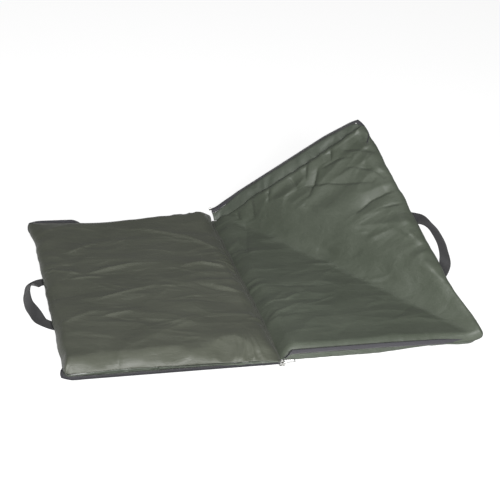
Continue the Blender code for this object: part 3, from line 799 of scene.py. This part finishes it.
def facets(x, y, side):
    """Broad facets of a loose cover in millimetres, with waves along the right half's bend."""
    seed = PAD_SEEDS[side]
    drift = noise_at(x / 0.10, y / 0.10, seed + 5) * 0.03

    def field(length_x, length_y, drift_x, drift_y, step):
        return noise_at((x + drift_x * drift) / length_x, (y + drift_y * drift) / length_y, seed + step)

    across = x * CREASE_ACROSS[0] + (y - REAR_Y) * CREASE_ACROSS[1] - BEND_WIDTH / 2
    bend = near(np.abs(across), BEND_WAVES_REACH) * (side == RIGHT)
    relief = field(0.16, 0.10, 0, 0, 0) * 2.2
    relief -= np.abs(field(0.15, 0.085, 1, -1, 11)) * 3.6
    relief += np.abs(field(0.07, 0.036, -1, 1, 17))
    relief += bend * field(0.055, 0.04, 1, 1, 53) * BEND_WAVES
    relief -= (1 - bend) * np.abs(field(0.11, 0.05, 2, 0, 59)) * FACET_DEPTHS[side]
    lifted = smooth(across / BEND_WIDTH + 0.5)
    return relief * (0.65 + 0.55 * lifted if side == RIGHT else 1)


def edge_puckers(x, y, side):
    """Puckers that the seams gather into a cover along its edges, in millimetres."""
    seed = PAD_SEEDS[side]
    edges = ((y + REAR_Y, x), (REAR_Y - y, x), (END_X - x, y), (x - FOLD_MEETING, y))
    relief = np.zeros_like(x)
    for (depth, along), (reach, height) in zip(edges, PUCKERS[side]):
        close = np.exp(-((depth / (reach * MM)) ** 2)) * smooth(depth / (6 * MM))
        bunch = smooth(0.35 + 1.5 * noise_at(along / 0.07, 0 * along, seed + 31))
        slanted = along + depth * noise_at(along / 0.06, 0 * along, seed + 41) * 1.5
        pucker = 1 - np.abs(noise_at(slanted / 0.027, depth / 0.09, seed + 23)) * 4.0
        relief += close * bunch * np.maximum(pucker, -0.6) * height
    return relief


def fabric_relief(x, y, side):
    """How far a loose cover stands off its plain form: facets, puckers and creases."""
    inside = smooth(edge_distance(x, y) / STILL_EDGE)
    lines = crease_lines(x, y, CREASES[side]) * CREASE_GAINS[side]
    lines += crease_lines(x, y, loose_creases(int(PAD_SEEDS[side]))) * LOOSE_GAIN
    return (facets(x, y, side) * inside + edge_puckers(x, y, side)) * MM + lines * inside


def closed_skin(top, base, flip):
    """Points, upper faces and lower faces of two grids that share their rim."""
    columns, rows = top.shape[:2]
    inner = base[1:-1, 1:-1].reshape(-1, 3)
    under = np.arange(columns * rows).reshape(columns, rows)
    under[1:-1, 1:-1] = columns * rows + np.arange(len(inner)).reshape(columns - 2, rows - 2)
    under = under.ravel().tolist()
    above = grid_faces(columns, rows, flip)
    below = [tuple(under[v] for v in quad[::-1]) for quad in above]
    return np.concatenate((top.reshape(-1, 3), inner)), above, below


def make_pad(name, side):
    """One padded half as a closed cover, its top and its base meeting at the seam."""
    columns = rim_stations(FOLD_MEETING, END_X, FOLD_ROLL, MARGIN)
    rows = rim_stations(-REAR_Y, REAR_Y, MARGIN, MARGIN)
    x, y = np.meshgrid(columns, rows, indexing="ij")
    out_x, out_y, rim, loft = swell(x, y, side)
    plan_x, plan_y = np.add(pad_plan(x, y), (out_x, out_y))
    top = np.stack((plan_x, plan_y, top_height(x, y, rim, side) + loft), axis=-1)
    normal = np.cross(np.gradient(top, axis=0), np.gradient(top, axis=1))
    normal /= np.maximum(np.linalg.norm(normal, axis=-1, keepdims=True), 1e-12)
    top += normal * fabric_relief(x, y, side)[..., None]
    top[..., 2] = below_highest(top[..., 2])
    base = np.stack((plan_x, plan_y, base_height(x, y, rim)), axis=-1)
    points, above, below = closed_skin(top, base, side == LEFT)
    made = make_object(name, in_frame(points, side), above + below, COVER_LOOKS[side])
    made.data.materials.append(NYLON_BASE)
    made.data.polygons.foreach_set("material_index", np.repeat((0, 1), len(above)).astype(np.int32))
    return made


# Creases of the photograph: width, rise and places on the flat half, X from the fold and Y
LEFT_CREASES = (
    (9, 3.4, (172, 216), (88, 171), (24, 107)),
    (6, 1.4, (361, 127), (303, 166)),
    (5, 2.6, (340, 31), (290, 46), (232, 60), (172, 55)),
    (5, 1.8, (408, 62), (345, 25)),
    (4, 1.6, (370, 11), (309, 17)),
    (4, 2.8, (128, 40), (82, 50), (30, 34)),
    (4, 2.0, (330, -76), (279, -60), (208, -38)),
    (4, 1.6, (194, -41), (158, -44)),
    (7, 2.8, (74, -45), (32, -76)),
    (4, 1.7, (336, -144), (270, -133)),
    (7, 1.6, (400, -157), (338, -117)),
    (16, 2.2, (320, -258), (240, -225), (134, -171)),
    (10, 3.2, (151, -262), (112, -240), (80, -238), (46, -262)),
    (9, 2.4, (300, -258), (170, -252)),
)
RIGHT_CREASES = (
    (5, -2.2, (343, 254), (405, 200)),
    (4, -2.4, (240, 222), (289, 194), (372, 134)),
    (6, -2.6, (279, 245), (237, 191)),
    (12, 3.0, (228, 178), (262, 120), (299, 60)),
    (9, 2.6, (299, 60), (350, 30), (405, -4)),
    (5, 2.2, (205, 66), (270, 56), (320, 32)),
    (6, 2.4, (223, -9), (275, -16), (326, -33)),
    (4, 1.8, (284, -27), (344, -54)),
    (4, 2.2, (260, -72), (306, -83)),
    (4, 1.8, (162, 15), (206, 8)),
    (8, 2.4, (333, -82), (375, -100), (405, -150)),
    (6, 2.2, (365, 23), (405, -60)),
    (4, 1.6, (374, 181), (405, 142)),
    (14, -2.6, (69, 223), (29, 75)),
    (4, 1.8, (64, -122), (95, -103)),
    (8, 3.0, (164, 257), (105, 219)),
    (4, -2.6, (345, 199), (384, 163), (400, 130)),
    (4, -2.0, (290, 240), (330, 236), (356, 220)),
    (4, -2.4, (70, 274), (62, 238)),
    (5, -2.8, (118, 274), (100, 228)),
    (4, -2.2, (166, 274), (150, 236)),
    (5, -2.8, (215, 274), (222, 228)),
    (4, -2.2, (262, 274), (246, 240)),
    (4, -2.2, (322, 274), (312, 246)),
    (5, -2.6, (400, 92), (352, 98), (312, 88)),
    (4, -2.2, (404, 52), (366, 66)),
    (13, 2.6, (190, 226), (160, 190), (150, 160)),
)
CREASES = {LEFT: LEFT_CREASES, RIGHT: RIGHT_CREASES}


# Gussets, tapes and coils


def lay_strip(name, side, spacing, widths, place, material):
    """A flat strip along the path, its points placed by section, run and width."""
    runs = stations(spacing)
    sections = [Section(run, side) for run in runs]
    spots = [place(section, run, width)[:] for section, run in zip(sections, runs) for width in widths]
    faces = grid_faces(len(runs), len(widths), side == RIGHT)
    return make_object(name, in_frame(spots, side), faces, material)


def make_gusset(name, side):
    """Narrow strip of cloth gathered between the seam and the zip."""
    seed = GUSSET_SEEDS[side]

    def place(section, run, width):
        belly = math.sin(math.pi * width)
        slant = run + 0.016 * width
        gather = 0.8 - 3.4 * abs(noise.noise(Vector((slant / 0.026, width * 0.7, seed))))
        gather = max(gather, -0.8) + 0.9 * noise.noise(Vector((slant / 0.043, width, seed + 5)))
        lift = section.ruck * belly + gather * GATHER_HEIGHT * (0.15 + 0.85 * belly)
        spot = section.inner.lerp(section.outer, width)
        across = (section.outer - section.inner).normalized()
        normal = Vector((0, 0, 1)) - across * across.z
        if abs(across.z) > 0.6:
            normal = -section.outward + across * section.outward.dot(across)
        spot += normal.normalized() * lift * (1 if width < 1 else 0.3)
        spot.z = max(spot.z, COVER_THICKNESS)
        return spot

    widths = np.linspace(0, 1, GUSSET_ROWS)
    made = lay_strip(name, side, GUSSET_STEP, widths, place, NYLON_GUSSET)
    return as_plain_mesh(thicken(made, CLOTH_THICKNESS))


def make_tape(name, side):
    """Zip tape from the gusset's edge to the coil, slightly waved."""

    def place(section, run, width):
        wave = noise.noise(Vector((run / 0.030, 0, 8.5))) * TAPE_WAVE
        spot = section.outer + section.way * (SEAM_GAP + (TAPE_WIDTH + COIL_DIAMETER * 0.8) * width)
        spot += section.upper * wave * (1 - width)
        spot.z = max(spot.z, TAPE_THICKNESS)
        return spot

    widths = np.linspace(0, 1, TAPE_ROWS)
    made = lay_strip(name, side, ZIP_STEP, widths, place, TAPE)
    add_uv(made, [(run, (width - 0.5) * TAPE_WIDTH) for run in stations(ZIP_STEP) for width in widths])
    return as_plain_mesh(thicken(made, TAPE_THICKNESS))


def repeating_tree(name, step, sizes, make_shape):
    """A geometry tree that sets one shape at each step along a line, turned with the line."""
    group = bpy.data.node_groups.new(name, "GeometryNodeTree")
    floats = [(label, "Float") for label in (step, *sizes)]
    for label, kind in (("Geometry", "Geometry"), *floats, ("Finish", "Material")):
        group.interface.new_socket(label, in_out="INPUT", socket_type="NodeSocket" + kind)
    group.interface.new_socket("Geometry", in_out="OUTPUT", socket_type="NodeSocketGeometry")
    tree = Tree(group)
    given = tree.add("NodeGroupInput")
    line = tree.add("GeometryNodeMeshToCurve", {0: given.out("Geometry")})
    steps = {0: line.out(), "Length": given.out(step)}
    spots = tree.add("GeometryNodeCurveToPoints", steps, mode="LENGTH")
    shape = make_shape(tree, *(given.out(label) for label in sizes))
    set_down = {"Points": spots.out("Points"), "Instance": shape.out(), "Rotation": spots.out("Rotation")}
    placed = tree.add("GeometryNodeInstanceOnPoints", set_down)
    solid = tree.add("GeometryNodeRealizeInstances", {0: placed.out()})
    finish = {0: solid.out(), "Material": given.out("Finish")}
    finished = tree.add("GeometryNodeSetMaterial", finish)
    tree.add("NodeGroupOutput", {0: finished.out()})
    return group


def coil_tooth(tree, loop_radius, wire_radius):
    """A slanted wire loop."""
    loop = tree.add("GeometryNodeCurvePrimitiveCircle", {"Resolution": 9, "Radius": loop_radius})
    wire = tree.add("GeometryNodeCurvePrimitiveCircle", {"Resolution": 4, "Radius": wire_radius})
    tooth = tree.add("GeometryNodeCurveToMesh", {0: loop.out(), 1: wire.out()})
    return tree.add("GeometryNodeTransform", {0: tooth.out(), "Rotation": (0.42, 0.0, 0.0)})


def short_stitch(tree, length, radius):
    """A short rounded thread."""
    bead = tree.add("GeometryNodeMeshUVSphere", {"Segments": 6, "Rings": 5, "Radius": radius})
    size = tree.add("ShaderNodeCombineXYZ", {0: 1.0, 1: 1.0, 2: length / (radius * 2)})
    return tree.add("GeometryNodeTransform", {0: bead.out(), "Scale": size.out()})


COIL_TEETH = repeating_tree("coil_teeth", "Pitch", ("Loop Radius", "Wire Radius"), coil_tooth)
STITCHES = repeating_tree("running_stitches", "Step", ("Stitch Length", "Thread Radius"), short_stitch)


def grow(name, group, points, values):
    """Run a tree along a line of points and keep the result as a plain mesh."""
    mesh = bpy.data.meshes.new(name)
    mesh.from_pydata([tuple(p) for p in points], [(i, i + 1) for i in range(len(points) - 1)], [])
    made = add_object(name, mesh)
    modifier = made.modifiers.new("Grow", "NODES")
    modifier.node_group = group
    for item in group.interface.items_tree:
        if item.in_out == "INPUT" and item.name in values:
            modifier[item.identifier] = values[item.name]
    made = as_plain_mesh(made)
    made.data.shade_smooth()
    return made


def settle(item, side):
    """Carry a piece that was made flat into the frame."""
    points = np.zeros(len(item.data.vertices) * 3)
    item.data.vertices.foreach_get("co", points)
    item.data.vertices.foreach_set("co", in_frame(points, side).ravel())
    if side == LEFT:
        item.data.flip_normals()
    item.data.update()
    return item


def make_coil(name, side):
    """The zip's coil as separate teeth."""
    centres = [Section(run, side).coil for run in stations(ZIP_STEP)]
    values = {"Pitch": COIL_PITCH, "Loop Radius": 1.05 * MM, "Wire Radius": 0.42 * MM, "Finish": COIL}
    return settle(grow(name, COIL_TEETH, centres, values), side)


def make_stitches(name, side):
    """Rows of stitches along the tape of one half, joined into one piece."""
    values = {"Step": 4.6 * MM, "Stitch Length": 3.4 * MM, "Thread Radius": 0.38 * MM, "Finish": THREAD}
    sections = [Section(run, side) for run in stations(ZIP_STEP)]
    points, faces = [], []
    for number, inset in enumerate(STITCH_ROWS):
        line = [at.outer + at.way * inset + at.upper * STITCH_RAISE for at in sections]
        for spot in line:
            spot.z = max(spot.z, COVER_THICKNESS)
        row = grow(name + str(number), STITCHES, line, values)
        start = len(points)
        points += [v.co[:] for v in row.data.vertices]
        faces += [tuple(v + start for v in face.vertices) for face in row.data.polygons]
        bpy.data.objects.remove(row)
    return settle(make_object(name, points, faces, THREAD), side)


def make_web(name):
    """Cloth that joins the halves at the bottom of the fold, gathered along its length."""
    points = []
    for across in np.linspace(-1, 1, WEB_COLUMNS):
        belly = math.cos(math.pi / 2 * across)
        for y in np.linspace(-1, 1, WEB_ROWS) * (REAR_Y - FLOOR_GAP):
            gather = noise.noise(Vector((y / 0.012, (across + 1) * 0.75, 4.2))) * WEB_GATHER
            height = FOLD_SEAM_HEIGHT - WEB_DROP - (WEB_SAG - gather) * belly
            points.append((across * FOLD_HALF_GAP + MIDDLE_X, y, max(height, COVER_THICKNESS)))
    made = make_object(name, points, grid_faces(WEB_COLUMNS, WEB_ROWS), NYLON_GUSSET)
    return as_plain_mesh(thicken(made, CLOTH_THICKNESS))


# Handles and pull


def handle_route(side):
    """Centre line of the strap in plan, its distances and its outward directions."""
    marks = np.array(HANDLE_MARKS) * MM
    if side == RIGHT:
        marks = marks[::-1] * (1, -0.92)
        marks[:, 1] -= HANDLE_SHIFT
    span = run_lengths(marks)
    spots = np.linspace(0, span[-1], HANDLE_STATIONS)
    line = np.stack([np.interp(spots, span, marks[:, axis]) for axis in (0, 1)], axis=-1)
    for _ in range(HANDLE_EASING):
        line[1:-1] = (line[:-2] + 2 * line[1:-1] + line[2:]) / 4
    run = np.gradient(line, axis=0)
    run /= np.linalg.norm(run, axis=1, keepdims=True)
    outs = np.stack((run[:, 1], -run[:, 0]), axis=-1)
    return line + (END_X, HANDLE_CENTRE_Y), run_lengths(line), outs


def make_handle(name, side):
    """Webbing strap, flat under the pad and tipped up round the loop."""
    line, steps, outs = handle_route(side)
    widths = np.linspace(-1, 1, WEBBING_ROWS)
    up = Vector((0, 0, 1))
    half = WEBBING_WIDTH / 2
    flat_level = FLOOR_GAP + WEBBING_THICKNESS / 2
    points, places = [], []
    for (x, y), distance, out in zip(line, steps, outs):
        out = Vector((*out, 0))
        leaning = float(smooth((x - END_X - HANDLE_FLAT) / (HANDLE_REACH - HANDLE_FLAT)))
        raised = 1 - float(smooth((x - END_X + HANDLE_ROOT_INSET) / HANDLE_DROP))
        tilt = HANDLE_TILT * leaning
        base = flat_level + (HANDLE_ROOT_HEIGHT - flat_level) * raised + half * math.sin(tilt)
        way = up * math.sin(tilt) - out * math.cos(tilt)
        face = up * math.cos(tilt) + out * math.sin(tilt)
        for width in widths:
            cup = (1 - width**2) * WEBBING_CUP * leaning
            points.append((Vector((x, y, base)) + way * width * half + face * cup)[:])
            places.append((distance, width * half))
    points = np.array(points)
    if side == RIGHT:
        points = turned(points, np.full(len(points), CORNER_LIFT))
    else:
        points *= (-1, 1, 1)
    faces = grid_faces(len(steps), len(widths), side == RIGHT)
    made = make_object(name, points + (MIDDLE_X, 0, 0), faces, WEBBING)
    add_uv(made, places)
    thicken(made, WEBBING_THICKNESS)
    rim = made.modifiers.new("Selvedge", "BEVEL")
    rim.width = SELVEDGE
    rim.segments = 2
    rim.limit_method = "ANGLE"
    return as_plain_mesh(made)


def plate(item):
    """Give a piece the nickel look alone."""
    item.data.materials.clear()
    item.data.materials.append(NICKEL)


def make_pull(name):
    """Bent wire loop in the slider's ear."""
    low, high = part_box("zip_pull")
    centre = (low + high) / 2
    radius = PULL_WIDTH / 4
    half_x, half_y = [(high[axis] - low[axis] - PULL_WIRE) / 2 - radius for axis in (0, 1)]
    points = []
    for first, (sign_x, sign_y) in enumerate(((1, 1), (-1, 1), (-1, -1), (1, -1))):
        for step in range(PULL_TURN_STEPS + 1):
            turn = (first + step / PULL_TURN_STEPS) * math.pi / 2
            x = centre.x + sign_x * half_x + radius * math.cos(turn)
            y = centre.y + sign_y * half_y + radius * math.sin(turn)
            points.append((x, y, centre.z, 1))
    curve = bpy.data.curves.new(name, "CURVE")
    curve.dimensions = "3D"
    curve.bevel_depth = PULL_WIRE / 2
    curve.bevel_resolution = 4
    spline = curve.splines.new("POLY")
    spline.points.add(len(points) - 1)
    for spot, point in zip(spline.points, points):
        spot.co = point
    spline.use_cyclic_u = True
    made = as_plain_mesh(add_object(name, curve))
    plate(made)
    made.data.shade_smooth()
    return made


# Put together

STRIP_BENDS = ("_end_bend", "_rear_bend")


def cad_nodes(side, *layers, bends=("_bend",)):
    """The solids of some layers of a half; those of the right half are cut at the bend."""
    if side == LEFT:
        return ["left_" + layer for layer in layers]
    return ["right_" + layer + part for layer in layers for part in ("", *bends, "_corner")]


def fasten(piece, side, nodes):
    """Attach a left piece to the left half's body or bake in a right piece's place, and hide the solids
    that it stands for.
    """
    if side == LEFT:
        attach(piece, "left_half")
    else:
        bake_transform(piece)
    if nodes:
        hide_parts(*nodes)


for side, word in SIDES:
    pad = make_pad(word + "_pad", side)
    fasten(pad, side, cad_nodes(side, "base_cover", "foam_pad", "top_cover"))

for side, word in SIDES:
    gusset = make_gusset(word + "_gusset_cloth", side)
    fasten(gusset, side, cad_nodes(side, "gusset", bends=STRIP_BENDS))

for kind, make, slot, layers in (
    ("tape", make_tape, "tape", ("zip_tape",)),
    ("coil", make_coil, "coil", ("zip_coil",)),
    ("stitches", make_stitches, "gusset", ()),
):
    for side, word in SIDES:
        piece = make(word + "_" + kind, side)
        fasten(piece, side, cad_nodes(side, *layers, bends=STRIP_BENDS))

fold_cloth = make_web("fold_cloth")
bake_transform(fold_cloth)
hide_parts("fold_web")

for side, word in SIDES:
    webbing = make_handle(word + "_webbing", side)
    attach(webbing, word + "_strap")
    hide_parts(word + "_handle")

pull = make_pull("wire_pull")
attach(pull, "pull")
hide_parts("zip_pull")

for node in ("zip_slider", "left_zip_stop", "right_zip_stop"):
    plate(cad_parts[node])


# Floor, light and camera


def make_floor():
    """Floor that keeps the mat's shadow, and is white to the camera and to reflections."""
    material, tree = start_material("white_floor")
    ray = tree.add("ShaderNodeLightPath")
    seen = ray.out("Is Camera Ray").above(ray.out("Is Glossy Ray")).above(ray.out("Is Transmission Ray"))
    grey = tree.add("ShaderNodeBsdfDiffuse", {"Color": (0.9, 0.9, 0.9, 1)})
    white = tree.add("ShaderNodeEmission", {"Color": (1, 1, 1, 1), "Strength": 1.2})
    looks = {0: seen * (1 - SHADOW_SHARE), 1: grey.out(), 2: white.out()}
    mixed = tree.add("ShaderNodeMixShader", looks)
    tree.add("ShaderNodeOutputMaterial", {"Surface": mixed.out()})
    low, high, level = -FLOOR_HALF, FLOOR_HALF, FLOOR_LEVEL
    corners = [(low, low, level), (high, low, level), (high, high, level), (low, high, level)]
    make_object("studio_floor", corners, [(0, 1, 2, 3)], material)


def make_world():
    """White surroundings for the camera, and dim ones for the light."""
    world = bpy.data.worlds.new("studio")
    bpy.context.scene.world = world
    world.use_nodes = True
    world.node_tree.nodes.clear()
    tree = Tree(world.node_tree)
    ray = tree.add("ShaderNodeLightPath")
    seen = ray.out("Is Camera Ray").above(ray.out("Is Transmission Ray"))
    light = {"Color": (1, 1, 1, 1), "Strength": seen * 0.80 + 0.20}
    sky = tree.add("ShaderNodeBackground", light)
    tree.add("ShaderNodeOutputWorld", {"Surface": sky.out()})


def make_lamp(name, place, aim, size, power):
    lamp = bpy.data.lights.new(name, "AREA")
    lamp.shape = "RECTANGLE"
    lamp.size, lamp.size_y = size
    lamp.energy = power
    made = add_object(name, lamp)
    made.location = place
    made.rotation_euler = (Vector(aim) - Vector(place)).to_track_quat("-Z", "Y").to_euler()


def make_camera():
    """Camera where the photograph was taken from, fitted to the mat's outline."""
    azimuth, elevation, roll = CAMERA_TURNS
    ahead = Vector((math.sin(azimuth), math.cos(azimuth), 0))
    forward = ahead * math.cos(elevation) - Vector((0, 0, math.sin(elevation)))
    level = Vector((ahead.y, -ahead.x, 0))
    above = level.cross(forward)
    right = level * math.cos(roll) + above * math.sin(roll)
    up = above * math.cos(roll) - level * math.sin(roll)
    data = bpy.data.cameras.new("camera")
    data.sensor_width = SENSOR_WIDTH
    data.lens = FOCAL_PIXELS * SENSOR_WIDTH / PHOTO_PIXELS
    camera = add_object("camera", data)
    turn = Matrix((right, up, -forward)).transposed().to_4x4()
    place = Vector((MIDDLE_X, 0, 0)) + CAMERA_FROM_FOLD
    camera.matrix_world = Matrix.Translation(place) @ turn
    bpy.context.scene.camera = camera


make_floor()
make_world()
for lamp in LAMPS:
    make_lamp(*lamp)
make_camera()

bpy.context.scene.view_settings.view_transform = "Standard"
